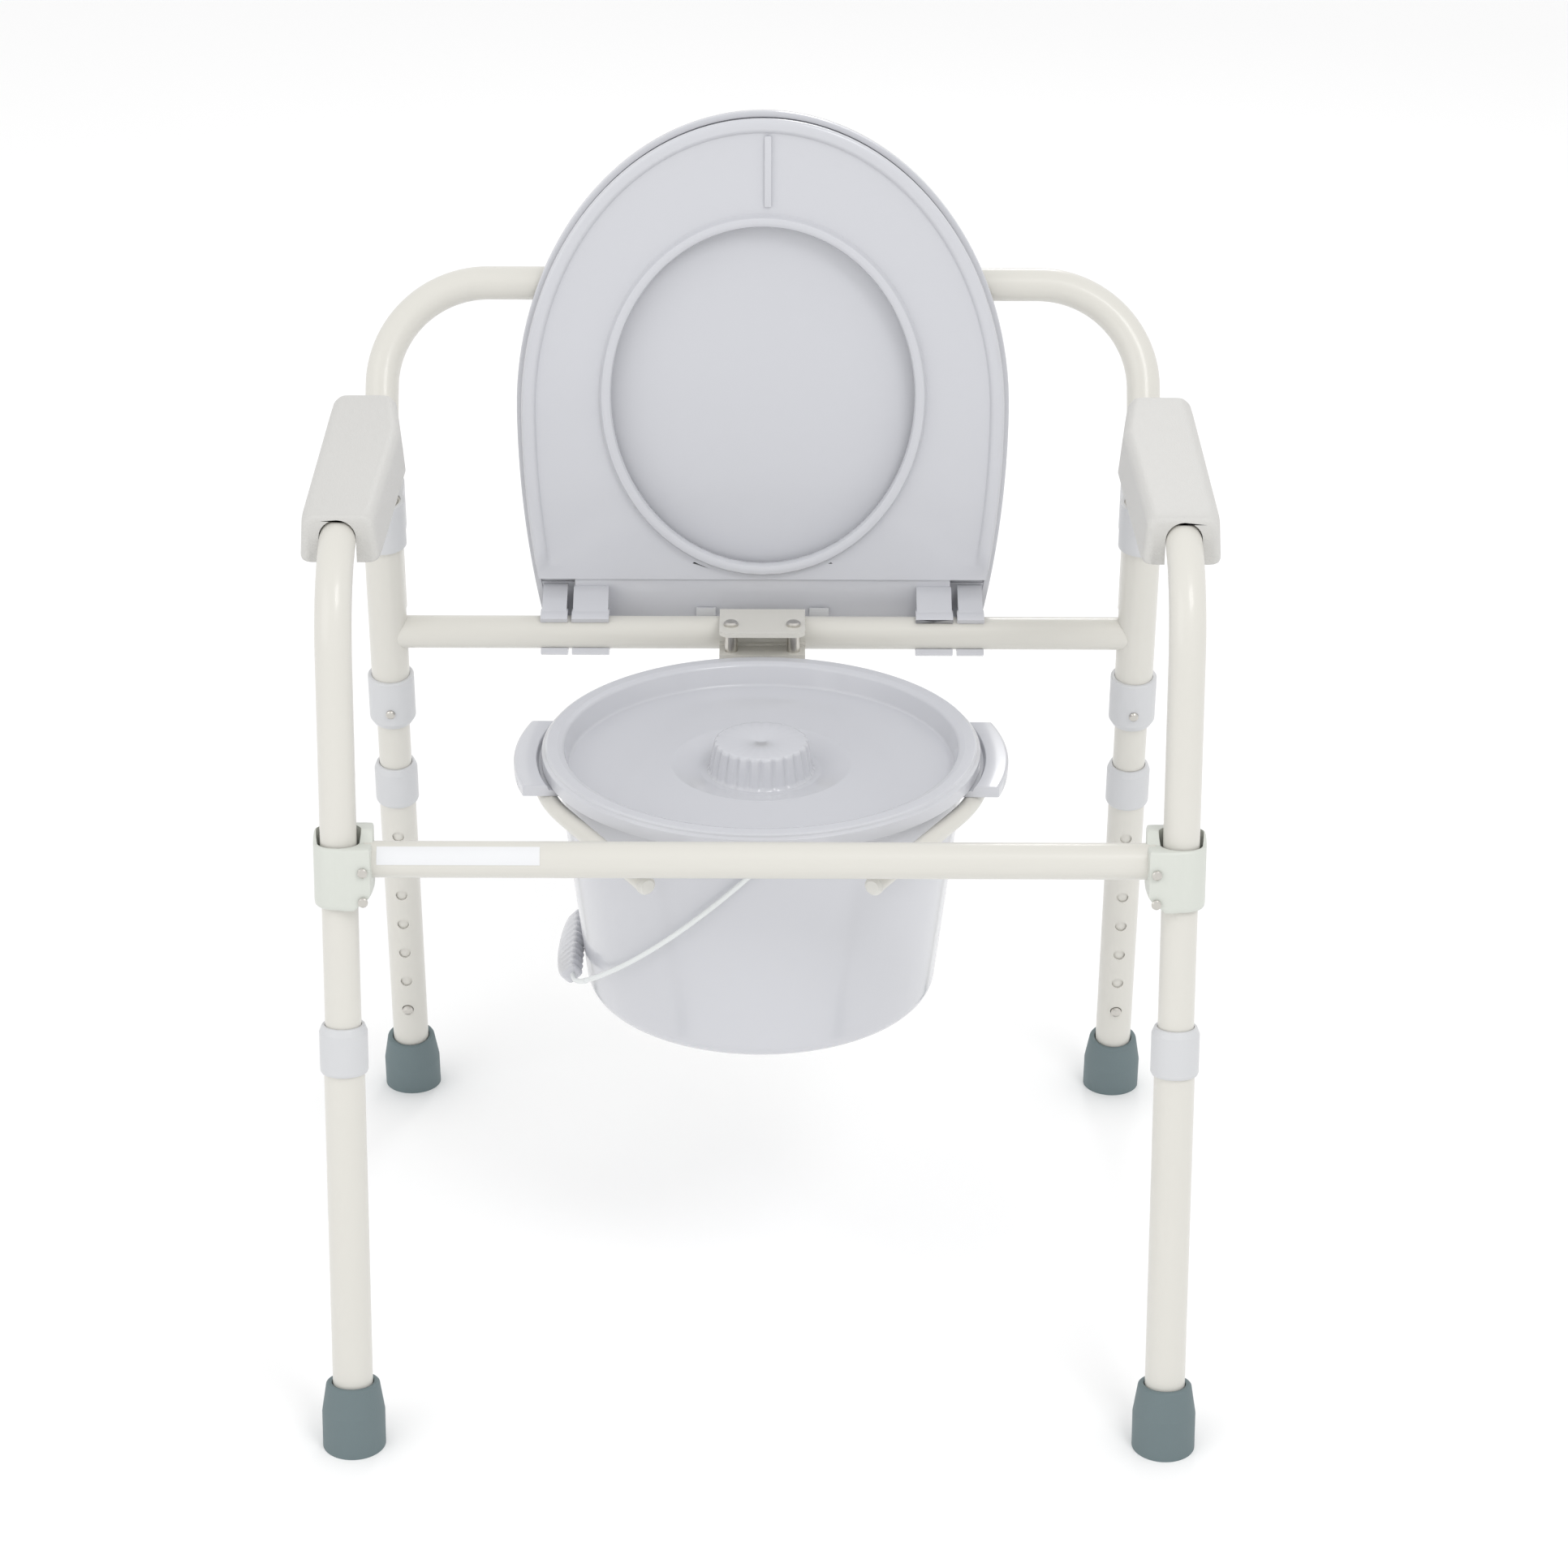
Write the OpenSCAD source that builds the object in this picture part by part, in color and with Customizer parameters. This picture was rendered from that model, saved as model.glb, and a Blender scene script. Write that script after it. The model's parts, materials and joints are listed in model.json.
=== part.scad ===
// Folding commode chair: bent steel side frames that swing on a fixed back frame,
// a seat ring and a lid hinged on the rear crossbar, and a lidded bucket hung in a holder ring.
// Frame: millimetres, +Z up, the front of the chair faces -Y, the floor is z = 0.

/* [Frame] */
// spacing of the left and right leg axes
frame_w = 580; // [520:5:640]
// front-to-back spacing of the two crossbar axes
frame_depth = 404; // [360:2:460]
// height of both crossbar axes above the floor, legs fully in
bar_z = 433; // [410:1:460]
// slope of the front and rear legs away from the vertical
leg_lean = 8.7; // [6:0.1:10]
// height of the arm tube axis
arm_z = 640; // [620:1:670]
// outside diameter of the main tubes
tube_d = 25.4; // [22:0.2:28]
// wall of the main tubes
tube_wall = 1.4; // [1:0.1:2]
// centre-line radius of the bends between leg and arm
arm_bend_r = 75; // [60:1:90]
// outside diameter of the sleeves the rear legs turn in
sleeve_d = 29.6; // [29:0.1:31]
// top end of the sleeves, measured along the leg from the crossbar
sleeve_top = 116; // [100:1:125]
// bottom end of the sleeves, measured along the leg from the crossbar
sleeve_bottom = -75; // [-90:1:-60]

/* [Backrest] */
// height of the straight bar at the top of the backrest
back_bar_z = 693; // [680:1:720]
// backward slope of the upper part of the backrest
back_slope = 32; // [26:1:36]
// height at which the backrest tube bends backwards
back_knee_z = 590; // [580:1:600]
// centre-line radius of the two top bends
back_bend_r = 80; // [65:1:90]
// centre-line radius of the backward bends
knee_bend_r = 90; // [70:1:110]

/* [Legs] */
// outside diameter of the height-adjusting lower legs
leg_d = 28.6; // [28.4:0.1:29.2]
// wall of the lower legs
leg_wall = 1.2; // [1:0.1:1.4]
// spacing of the height-adjusting holes
hole_pitch = 28.5; // [25:0.5:30]
// number of height-adjusting holes in each lower leg
hole_count = 7; // [5:1:8]
// diameter of the height-adjusting holes
hole_d = 9.2; // [8.8:0.1:10]
// height of the rubber foot, measured along the leg
foot_h = 48; // [40:1:55]
// largest diameter of the rubber foot
foot_d = 45; // [42:0.5:50]

/* [Seat and lid] */
// how far the raised seat and lid lean back past the vertical
seat_lean = 4.5; // [3:0.1:6]
// half of the seat's width
seat_half_w = 185; // [175:1:190]
// half of the lid's width
lid_half_w = 189; // [180:1:194]
// reach of the seat from the hinge to its front edge
seat_reach = 398; // [392:1:402]
// reach of the lid from the hinge to its front edge
lid_reach = 402; // [396:1:406]
// half width of the opening in the seat
opening_half_w = 116; // [105:1:120]
// half length of the opening in the seat
opening_half_l = 133; // [120:1:136]

/* [Bucket] */
// outside radius of the bucket lid
bucket_lid_r = 160.5; // [158:0.5:162]
// height of the bucket's underside above the floor
bucket_z = 238; // [230:1:250]
// front-to-back place of the bucket's axis
bucket_y = -3; // [-6:1:-1]
// centre-line radius of the holder ring
ring_r = 161; // [160:0.5:162]
// height of the holder ring's axis
ring_z = 408.5; // [406:0.5:409]
// outside diameter of the holder ring's tube
ring_d = 12.7; // [11:0.1:14]

/* [Hidden] */
$fn = 96;

left = -1;
right = 1;
front = -1;
rear = 1;
half_w = frame_w / 2;
bar_y = frame_depth / 2;
tube_r = tube_d / 2;
sleeve_r = sleeve_d / 2;
sleeve_bore_r = tube_r + 0.5;
leg_r = leg_d / 2;
leg_bore_r = leg_r - leg_wall;
floor_t = -bar_z / cos(leg_lean);
button_t = floor_t + 83.5;
inner_leg_end_t = button_t - 19;
lower_leg_end_t = floor_t + 10;
ferrule_top_t = -120;
ferrule_h = 35;
lower_leg_top_t = ferrule_top_t - 5;
joint_gap = 0.05;
free_gap = 0.35;

steel = [0.88, 0.87, 0.83];
white_plastic = [0.88, 0.89, 0.9];
seat_plastic = [0.8, 0.8, 0.82];
pad_plastic = [0.84, 0.84, 0.83];
rubber = [0.45, 0.5, 0.51];
plain_metal = [0.72, 0.72, 0.72];

// ---- placing ----

// a leg's own axes: z runs up along the leg from the height of the crossbars
module on_leg(side, end) {
    translate([side * half_w, end * bar_y, bar_z]) rotate([end * leg_lean, 0, 0]) children();
}

// flat plans drawn in x = front to back, y = up, turned to stand at one side
module side_plane(side) {
    translate([side * half_w, 0, 0]) rotate([90, 0, 90]) children();
}

// pieces drawn as if lowered over the seat, turned up about the rear crossbar
module raised() {
    translate([0, bar_y, bar_z]) rotate([-(90 + seat_lean), 0, 0]) children();
}

// ---- tube pieces in one plane ----

// a straight runs on a little way inside each bend it meets, and the bend's wall sits inside the straight's
lap = 1;
lap_step = 0.25;

module ring_section(d, wall) {
    difference() {
        circle(d = d);
        if (wall > 0) circle(d = d - 2 * wall);
    }
}

module plane_bar(p, q, d, wall = 0, lap_p = lap, lap_q = lap) {
    run = q - p;
    translate([p.x, p.y, 0]) rotate([0, 0, atan2(run.y, run.x)]) translate([-lap_p, 0, 0]) rotate([0, 90, 0])
        linear_extrude(norm(run) + lap_p + lap_q) ring_section(d, wall);
}

module plane_bend(centre, r, from, to, d, wall = 0) {
    translate([centre.x, centre.y, 0]) rotate([0, 0, from]) rotate_extrude(angle = to - from) translate([r, 0])
        ring_section(d - 2 * lap_step, wall > 0 ? wall - 2 * lap_step : 0);
}

module screw(head_r, head_h, shank_r, length) {
    cylinder(h = head_h * 0.6, r = head_r);
    translate([0, 0, head_h * 0.6]) cylinder(h = head_h * 0.4, r1 = head_r, r2 = head_r * 0.75);
    translate([0, 0, -length]) cylinder(h = length, r = shank_r);
}

// ---- back frame ----

sleeve_gap_r = sleeve_r + joint_gap;

module rear_crossbar() {
    color(steel) difference() {
        translate([-half_w, bar_y, bar_z]) rotate([0, 90, 0]) cylinder(h = frame_w, r = tube_r);
        translate([-half_w - 1, bar_y, bar_z]) rotate([0, 90, 0]) cylinder(h = frame_w + 2, r = tube_r - tube_wall);
        for (side = [left, right]) on_leg(side, rear) translate([0, 0, -60]) cylinder(h = 120, r = sleeve_gap_r);
    }
}

module rear_sleeve(side) {
    color(steel) on_leg(side, rear) difference() {
        translate([0, 0, sleeve_bottom]) cylinder(h = sleeve_top - sleeve_bottom, r = sleeve_r);
        translate([0, 0, sleeve_bottom - 1]) cylinder(h = sleeve_top - sleeve_bottom + 2, r = sleeve_bore_r);
    }
}

back_offset = sleeve_r + tube_r + 0.8;
back_low_t = 6;
knee_turn = leg_lean + back_slope;
knee_y = bar_y + back_offset / cos(leg_lean) - (back_knee_z - bar_z) * tan(leg_lean);
knee_tangent = knee_bend_r * tan(knee_turn / 2);
back_top_run = (back_bar_z - back_knee_z) / cos(back_slope);

module backrest_half(side) {
    translate([side * half_w, 0, 0]) rotate([90, 0, 90]) {
        up = [-sin(leg_lean), cos(leg_lean)];
        back = [sin(back_slope), cos(back_slope)];
        knee = [knee_y, back_knee_z];
        bend_start = knee - knee_tangent * up;
        bend_end = knee + knee_tangent * back;
        centre = bend_start + knee_bend_r * [cos(leg_lean), sin(leg_lean)];
        low = [bar_y + back_offset * cos(leg_lean), bar_z + back_offset * sin(leg_lean)] + back_low_t * up;
        plane_bar(low, bend_start, tube_d, tube_wall, 0);
        plane_bend(centre, knee_bend_r, 180 - back_slope, 180 + leg_lean, tube_d, tube_wall);
        plane_bar(bend_end, knee + (back_top_run - back_bend_r) * back, tube_d, tube_wall);
    }
    translate([0, knee_y, back_knee_z]) rotate([90 - back_slope, 0, 0]) {
        plane_bend([side * (half_w - back_bend_r), back_top_run - back_bend_r], back_bend_r,
            side > 0 ? 0 : 90, side > 0 ? 90 : 180, tube_d, tube_wall);
    }
}

module backrest_tube() {
    color(steel) {
        for (side = [left, right]) backrest_half(side);
        translate([0, knee_y, back_knee_z]) rotate([90 - back_slope, 0, 0])
            plane_bar([back_bend_r - half_w, back_top_run], [half_w - back_bend_r, back_top_run], tube_d, tube_wall);
    }
}

// domed plugs in the low ends of the backrest tube
module backrest_tube_plugs() {
    plug_r = tube_r - tube_wall - joint_gap;
    color(pad_plastic) for (side = [left, right]) on_leg(side, rear) translate([0, back_offset, back_low_t]) {
        cylinder(h = 12, r = plug_r);
        rotate_extrude() polygon([[0, -4], [6, -3.6], [10, -2.4], [tube_r, -joint_gap], [0, -joint_gap]]);
        translate([0, 0, -1]) cylinder(h = 2, r = plug_r);
    }
}

clamp_low_t = 79;
clamp_h = 38;
clamp_wall = 3;

module backrest_clamp(side) {
    color(white_plastic) on_leg(side, rear) translate([0, 0, clamp_low_t]) difference() {
        union() {
            cylinder(h = clamp_h, r = sleeve_r + clamp_wall);
            translate([0, back_offset, 0]) cylinder(h = clamp_h, r = tube_r + clamp_wall);
            translate([-tube_r - clamp_wall, 0, 0]) cube([2 * (tube_r + clamp_wall), back_offset, clamp_h]);
        }
        translate([0, 0, -1]) cylinder(h = clamp_h + 2, r = sleeve_gap_r);
        translate([0, back_offset, -1]) cylinder(h = clamp_h + 2, r = tube_r + joint_gap);
        clamp_screw_place() cylinder(h = 20, r = 2.1, center = true);
    }
}

module clamp_screw_place() {
    translate([0, back_offset + tube_r + clamp_wall, clamp_h / 2]) rotate([-90, 0, 0]) children();
}

module backrest_clamp_screws() {
    color(plain_metal) for (side = [left, right]) on_leg(side, rear) translate([0, 0, clamp_low_t])
        clamp_screw_place() screw(4, 2.4, 1.9, clamp_wall);
}

collar_bottom_t = -81;
collar_top_t = -38;
collar_r = 18;

module sleeve_collar(side) {
    color(white_plastic) on_leg(side, rear) difference() {
        rotate_extrude() polygon([[tube_r + free_gap, collar_bottom_t], [collar_r - 3, collar_bottom_t],
            [collar_r, collar_bottom_t + 5], [collar_r, collar_top_t - 1.5], [collar_r - 1.5, collar_top_t],
            [sleeve_gap_r, collar_top_t], [sleeve_gap_r, sleeve_bottom - 0.1], [tube_r + free_gap, sleeve_bottom - 0.1]]);
        collar_screw_place() cylinder(h = 20, r = 2.1, center = true);
    }
}

module collar_screw_place() {
    translate([0, -collar_r, sleeve_bottom + 10]) rotate([90, 0, 0]) children();
}

module collar_screws() {
    color(plain_metal) for (side = [left, right]) on_leg(side, rear) collar_screw_place()
        translate([0, 0, 0.05]) screw(3.6, 2, 1.9, collar_r - sleeve_r);
}

// ---- bucket holder ----

plate_half_w = 33;
plate_front_y = 161;
plate_z = bar_z + tube_r + joint_gap;
plate_t = 3.5;
holder_screw_x = 24;
holder_screw_y = 178;
saddle_t = 3;
saddle_flange_z = bar_z - 8;
ring_tube_r = ring_d / 2;
ring_wrap = 29.1;
ring_arm_l = 124.5;
ring_wall = 1.2;
web_y = 169;
ring_top_z = ring_z + ring_tube_r + joint_gap;

module holder_screw_places() {
    for (x = [-holder_screw_x, holder_screw_x]) translate([x, holder_screw_y, 0]) children();
}

module holder_top_plate() {
    corner_r = 8;
    color(steel) difference() {
        union() {
            translate([-plate_half_w, plate_front_y + corner_r, plate_z]) cube([2 * plate_half_w, bar_y + 8 - plate_front_y - corner_r, plate_t]);
            translate([-plate_half_w + corner_r, plate_front_y, plate_z]) cube([2 * (plate_half_w - corner_r), corner_r, plate_t]);
            for (x = [-1, 1]) translate([x * (plate_half_w - corner_r), plate_front_y + corner_r, plate_z]) cylinder(h = plate_t, r = corner_r);
        }
        holder_screw_places() translate([0, 0, plate_z - 1]) cylinder(h = plate_t + 2, r = 3.1);
    }
}

// hooks under the crossbar, reaches forward to the screws and down to the ring
module holder_saddle() {
    inner_r = tube_r + joint_gap;
    outer_r = inner_r + saddle_t;
    color(steel) difference() {
        union() {
            translate([0, bar_y, bar_z]) rotate([90, 0, 90]) rotate([0, 0, 192]) translate([0, 0, -plate_half_w])
                rotate_extrude(angle = 108) translate([inner_r, 0]) square([saddle_t, 2 * plate_half_w]);
            translate([-plate_half_w, holder_screw_y - 9, saddle_flange_z]) cube([2 * plate_half_w, bar_y - outer_r + 3 - holder_screw_y + 9, saddle_t]);
            translate([-plate_half_w, web_y, ring_top_z])
                cube([2 * plate_half_w, saddle_t, saddle_flange_z + saddle_t - ring_top_z]);
            translate([-plate_half_w, 156, ring_top_z]) cube([2 * plate_half_w, web_y + saddle_t - 156, 2.5]);
        }
        holder_screw_places() translate([0, 0, saddle_flange_z - 1]) cylinder(h = saddle_t + 2, r = 3.1);
        translate([0, bar_y, bar_z]) rotate([0, 90, 0]) cylinder(h = 2 * plate_half_w + 2, r = inner_r, center = true);
    }
}

module holder_spacers() {
    low = saddle_flange_z + saddle_t + joint_gap;
    color(plain_metal) holder_screw_places() translate([0, 0, low]) difference() {
        cylinder(h = plate_z - low - joint_gap, r = 5);
        translate([0, 0, -1]) cylinder(h = plate_z - low + 2, r = 3.1);
    }
}

module holder_screws() {
    color(plain_metal) holder_screw_places() translate([0, 0, plate_z + plate_t + joint_gap])
        screw(5.5, 3, 2.9, plate_z + plate_t - saddle_flange_z + 6);
}

module holder_nuts() {
    nut_h = 4;
    color(plain_metal) holder_screw_places() translate([0, 0, saddle_flange_z - nut_h - joint_gap]) difference() {
        cylinder(h = nut_h, r = 5.7, $fn = 6);
        translate([0, 0, -1]) cylinder(h = nut_h + 2, r = 2.95);
    }
}

module ring_place() {
    translate([0, bucket_y, ring_z]) children();
}

// an arc round the back and sides, with straight arms that run on to the front crossbar
module bucket_holder_ring() {
    color(steel) ring_place() {
        plane_bend([0, 0], ring_r, -ring_wrap, 180 + ring_wrap, ring_d, ring_wall);
        for (side = [left, right]) plane_bar(arm_start(side), arm_end(side), ring_d, ring_wall, lap, 0);
    }
}

function arm_start(side) = ring_r * [side * cos(ring_wrap), -sin(ring_wrap)];
function arm_end(side) = arm_start(side) + ring_arm_l * [-side * sin(ring_wrap), -cos(ring_wrap)];

module holder_ring_plugs() {
    plug_reach = 3;
    color(pad_plastic) ring_place() for (side = [left, right])
        translate(arm_end(side)) rotate([0, 0, -90 - side * ring_wrap]) rotate([0, 90, 0]) {
            translate([0, 0, joint_gap]) cylinder(h = plug_reach, r = ring_tube_r + 0.4);
            translate([0, 0, plug_reach]) cylinder(h = 2, r1 = ring_tube_r + 0.4, r2 = ring_tube_r - 1.5);
        }
}

// ---- seat and lid, drawn lowered: x across, -y towards the front, z up ----

seat_low = 13.3;
seat_rim_low = 15.4;
seat_deck = 19;
seat_top = 26;
lid_low = 27.5;
lid_top = 34.5;
widest_y = -170;
opening_mid_y = -183;
seat_rear_y = -37;
lid_rear_y = 8;
clip_inner_r = tube_r + free_gap;
clip_outer_r = 18;
clip_wrap = 256;

// rounded egg: a half ellipse to the front and a slow taper to the rear, cut straight at rear_y
module egg(half_width, reach, rear_y, taper = 391) {
    last = asin((rear_y - widest_y) / taper);
    polygon(concat(
        [for (a = [180 : 3 : 360]) [half_width * cos(a), widest_y + (reach + widest_y) * sin(a)]],
        [for (k = [1 : 10]) [half_width * cos(k * last / 10), widest_y + taper * sin(k * last / 10)]],
        [for (k = [10 : -1 : 1]) [-half_width * cos(k * last / 10), widest_y + taper * sin(k * last / 10)]]));
}

module opening_plan(grow) {
    polygon([for (a = [0 : 4 : 356]) [(opening_half_w + grow) * cos(a), opening_mid_y + (opening_half_l + grow) * sin(a)]]);
}

module hinge_clip(x, width) {
    translate([x - width / 2, 0, 0]) rotate([90, 0, 90]) rotate([0, 0, -90 + (360 - clip_wrap) / 2])
        rotate_extrude(angle = clip_wrap) translate([clip_inner_r, 0]) square([clip_outer_r - clip_inner_r, width]);
}

// the sloping block that joins a clip to the plate above it
module clip_root(x, width, top) {
    inner_r = clip_inner_r + 0.7;
    translate([x - width / 2 + 1, 0, 0]) rotate([90, 0, 90]) linear_extrude(width - 2) polygon(concat(
        [for (a = [100 : 15 : 205]) inner_r * [cos(a), sin(a)]],
        [[-16.3, -7.6], [-17.6, -3.5], [-31, top - 5], [-31, top], [-2, top]]));
}

module seat() {
    rim_w = 12;
    clip_x = 133;
    clip_w = 29;
    tail_half_w = 146;
    color(seat_plastic) raised() difference() {
        union() {
            translate([0, 0, seat_deck]) linear_extrude(seat_top - seat_deck) egg(seat_half_w, seat_reach, seat_rear_y);
            translate([0, 0, seat_rim_low]) linear_extrude(seat_deck - seat_rim_low + 1) difference() {
                egg(seat_half_w - 2, seat_reach - 2, seat_rear_y);
                egg(seat_half_w - rim_w, seat_reach - rim_w, seat_rear_y - rim_w);
                translate([-150, seat_rear_y - 30]) square([300, 40]);
            }
            translate([0, 0, seat_low]) linear_extrude(seat_deck - seat_low + 1) opening_plan(8);
            translate([1, -385, seat_deck - 2.5]) cube([5, 54, 3]);
            translate([-tail_half_w, seat_rear_y - 8, seat_deck + 0.5]) cube([2 * tail_half_w, 39, 5.5]);
            for (side = [left, right]) {
                hinge_clip(side * clip_x, clip_w);
                clip_root(side * clip_x, clip_w, seat_deck + 2);
            }
        }
        translate([0, 0, seat_low - 1]) linear_extrude(seat_top) opening_plan(0);
        translate([-plate_half_w - 2.5, -54, seat_low - 1]) cube([2 * plate_half_w + 5, 60, 9]);
    }
}

// two soft tabs on the seat's rear edge, one on each side of the holder plate
module seat_bumpers() {
    color(white_plastic) raised() for (x = [-44, 44])
        translate([x - 7.5, -14, seat_deck - 2.6]) cube([15, 8, 3]);
}

module lid() {
    clip_x = 161;
    clip_w = 21;
    color(seat_plastic) raised() difference() {
        union() {
            translate([0, 0, lid_low]) linear_extrude(lid_top - lid_low) egg(lid_half_w, lid_reach, lid_rear_y);
            for (side = [left, right]) {
                hinge_clip(side * clip_x, clip_w);
                clip_root(side * clip_x, clip_w, lid_low + 1);
            }
        }
        translate([0, 0, lid_low - 1]) linear_extrude(4) egg(lid_half_w - 5, lid_reach - 5, -40);
    }
}

// ---- side frames ----

arm_corner_y = bar_y - (arm_z - bar_z) * tan(leg_lean);
arm_tangent = arm_bend_r * tan((90 - leg_lean) / 2);

module side_frame_path() {
    for (end = [front, rear]) {
        down = [end * sin(leg_lean), -cos(leg_lean)];
        corner = [end * arm_corner_y, arm_z];
        leg_end = [end * bar_y, bar_z] - inner_leg_end_t * down;
        plane_bar(corner + arm_tangent * down, leg_end, tube_d, tube_wall, lap, 0);
        plane_bend([end * (arm_corner_y - arm_tangent), arm_z - arm_bend_r], arm_bend_r,
            end > 0 ? leg_lean : 90, end > 0 ? 90 : 180 - leg_lean, tube_d, tube_wall);
    }
    plane_bar([-arm_corner_y + arm_tangent, arm_z], [arm_corner_y - arm_tangent, arm_z], tube_d, tube_wall);
}

// the buttons look at each other: rearwards on the front leg, forwards on the rear leg
module button_place(side, end) {
    on_leg(side, end) translate([0, 0, button_t]) rotate([end * 90, 0, 0]) children();
}

module side_tube(side) {
    color(steel) difference() {
        side_plane(side) side_frame_path();
        for (end = [front, rear]) button_place(side, end) cylinder(h = 20, d = hole_d);
        armrest_screw_places(side) cylinder(h = 60, r = 2.2);
    }
}

pad_half_l = 125;
pad_half_w = 27;
pad_top_z = 658;
pad_h = 36;

module pad_plan() {
    corner = 14;
    for (end = [front, rear], side = [left, right])
        translate([side * (pad_half_w - corner), end * (pad_half_l - corner)]) circle(r = corner);
    square([2 * (pad_half_w - corner), 2 * pad_half_l], center = true);
    square([2 * pad_half_w, 2 * (pad_half_l - corner)], center = true);
}

module pad_section() {
    top_r = 11;
    low_r = 3;
    for (side = [left, right]) {
        translate([side * (pad_half_w - top_r), pad_top_z - top_r]) circle(r = top_r);
        translate([side * (pad_half_w - low_r), pad_top_z - pad_h + low_r]) circle(r = low_r);
    }
    translate([-pad_half_w, pad_top_z - pad_h + low_r]) square([2 * pad_half_w, pad_h - low_r - top_r]);
    translate([-pad_half_w + top_r, pad_top_z - pad_h + low_r]) square([2 * (pad_half_w - top_r), pad_h - low_r]);
    translate([-pad_half_w + low_r, pad_top_z - pad_h]) square([2 * (pad_half_w - low_r), pad_h / 2]);
}

module armrest(side) {
    channel_r = tube_r + joint_gap;
    color(pad_plastic) translate([side * half_w, 0, 0]) difference() {
        intersection() {
            translate([0, 0, pad_top_z - pad_h - 1]) linear_extrude(pad_h + 2) pad_plan();
            rotate([90, 0, 0]) linear_extrude(2 * pad_half_l + 2, center = true) pad_section();
        }
        translate([0, 0, arm_z]) rotate([90, 0, 0]) cylinder(h = 2 * pad_half_l + 2, r = channel_r, center = true);
        translate([-channel_r, -pad_half_l - 1, pad_top_z - pad_h - 1]) cube([2 * channel_r, 2 * pad_half_l + 2, arm_z - pad_top_z + pad_h + 1]);
    }
}

module armrest_screw_places(side) {
    for (y = [-80, 80]) translate([side * half_w, y, arm_z - tube_r - 2.5]) children();
}

module armrest_screws(side) {
    color(plain_metal) armrest_screw_places(side) translate([0, 0, 2.4]) rotate([180, 0, 0]) screw(4.2, 2.4, 2.1, 2 * tube_r - 1);
}

// a folded steel strip inside the tube behind each button
module button_springs(side) {
    strip = 0.8;
    wide = 7;
    far = -9.5;
    near = 7;
    color(plain_metal) for (end = [front, rear]) on_leg(side, end) translate([0, 0, button_t])
        mirror([0, end > 0 ? 0 : 1, 0]) translate([wide / 2, 0, 0]) rotate([90, 0, -90]) linear_extrude(wide)
        polygon([[far, -12], [far, 30], [far + strip, 30], [near, -2], [near, -6], [near - strip, -6],
            [near - strip, -2.6], [far + strip, 27], [far + strip, -12]]);
}

// ---- front crossbar ----

bracket_low_t = -32;
bracket_top_t = 12;
bracket_r = 17.4;
bracket_bore_r = 14.7;
bracket_face = 24;
bracket_socket = 6;
crossbar_end = half_w - bracket_face + bracket_socket;

module front_crossbar() {
    color(steel) translate([0, -bar_y, bar_z]) rotate([0, 90, 0]) difference() {
        cylinder(h = 2 * crossbar_end, r = tube_r, center = true);
        cylinder(h = 2 * crossbar_end + 2, r = tube_r - tube_wall, center = true);
    }
}

module bracket_screw_places(side) {
    for (t = [-4, -25]) on_leg(side, front) translate([-side * 18, -20, t]) rotate([90, 0, 0]) children();
}

module crossbar_bracket(side) {
    low_chamfer = 16;
    color(white_plastic) difference() {
        on_leg(side, front) difference() {
            translate([0, 0, bracket_low_t]) mirror([side > 0 ? 1 : 0, 0, 0]) linear_extrude(bracket_top_t - bracket_low_t) {
                circle(r = bracket_r);
                polygon([[bracket_face, -20], [bracket_face, 20], [11, 20], [-3, bracket_r - 0.3], [-3, -bracket_r + 0.3], [11, -20]]);
            }
            translate([0, 0, bracket_low_t - 1]) cylinder(h = bracket_top_t - bracket_low_t + 2, r = bracket_bore_r);
            translate([-side * (bracket_face + 6), 0, bracket_low_t - 6]) rotate([0, 45, 0]) cube([low_chamfer, 50, low_chamfer], center = true);
        }
        translate([0, -bar_y, bar_z]) rotate([0, 90, 0]) cylinder(h = 2 * (crossbar_end + 0.1), r = tube_r + joint_gap, center = true);
        bracket_screw_places(side) cylinder(h = 16, r = 1.9, center = true);
    }
}

module bracket_screws() {
    color(plain_metal) for (side = [left, right]) bracket_screw_places(side) translate([0, 0, joint_gap]) screw(3.4, 2, 1.7, 5);
}

// an unprinted sticker on the front of the bar
module blank_label() {
    label_w = 112;
    label_x = -207;
    color([0.95, 0.95, 0.94]) translate([label_x, -bar_y, bar_z]) rotate([0, 90, 0]) rotate([0, 0, -158])
        translate([0, 0, -label_w / 2]) rotate_extrude(angle = 60) translate([tube_r + 0.02, 0]) square([0.3, label_w]);
}

// ---- lower legs ----

module lower_leg(side, end) {
    color(steel) on_leg(side, end) difference() {
        translate([0, 0, lower_leg_end_t]) cylinder(h = lower_leg_top_t - lower_leg_end_t, r = leg_r);
        translate([0, 0, lower_leg_end_t - 1]) cylinder(h = lower_leg_top_t - lower_leg_end_t + 2, r = leg_bore_r);
        for (k = [0 : hole_count - 1]) translate([0, 0, button_t + k * hole_pitch]) rotate([end * 90, 0, 0]) cylinder(h = 20, d = hole_d);
    }
}

module ferrule(side, end) {
    low = ferrule_top_t - ferrule_h;
    bore_r = tube_r + free_gap;
    color(white_plastic) on_leg(side, end) rotate_extrude() polygon([[leg_r + joint_gap, low], [leg_r + 1.6, low],
        [leg_r + 2.6, low + 1.2], [leg_r + 2.6, ferrule_top_t - 4], [leg_r + 0.6, ferrule_top_t], [bore_r, ferrule_top_t],
        [bore_r, lower_leg_top_t + 0.1], [leg_r + joint_gap, lower_leg_top_t + 0.1]]);
}

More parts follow.
